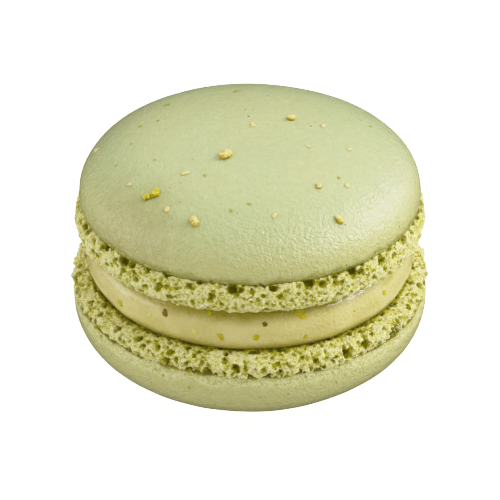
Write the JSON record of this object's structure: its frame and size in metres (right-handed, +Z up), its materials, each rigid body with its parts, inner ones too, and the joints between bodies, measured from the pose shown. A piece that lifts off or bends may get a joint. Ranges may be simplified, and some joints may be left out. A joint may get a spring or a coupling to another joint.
{
  "type": "pistachio macaron",
  "caption": "Round almond macaron: smooth domed top and bottom shells with frilled, porous feet, and a thick disc of pale cream filling between them.",
  "frame": {"origin": "centre of the flat spot under the bottom shell, on the surface that the macaron rests on", "axes": "+Z up through the middle of both shells; X and Y lie in the resting surface, and the macaron is round about Z apart from its uneven feet"},
  "size_m": [0.0471, 0.0473, 0.0335],
  "materials": {
    "shell": "baked almond meringue: smooth matt pale green skin on the caps, open crumbly texture on the feet, with fine nut specks",
    "filling": "soft pale yellow-green butter cream with a satin sheen and small nut pieces"
  },
  "bodies": {
    "root": {"bottom_shell": "shell", "filling": "filling", "top_shell": "shell"}
  },
  "joints": []
}
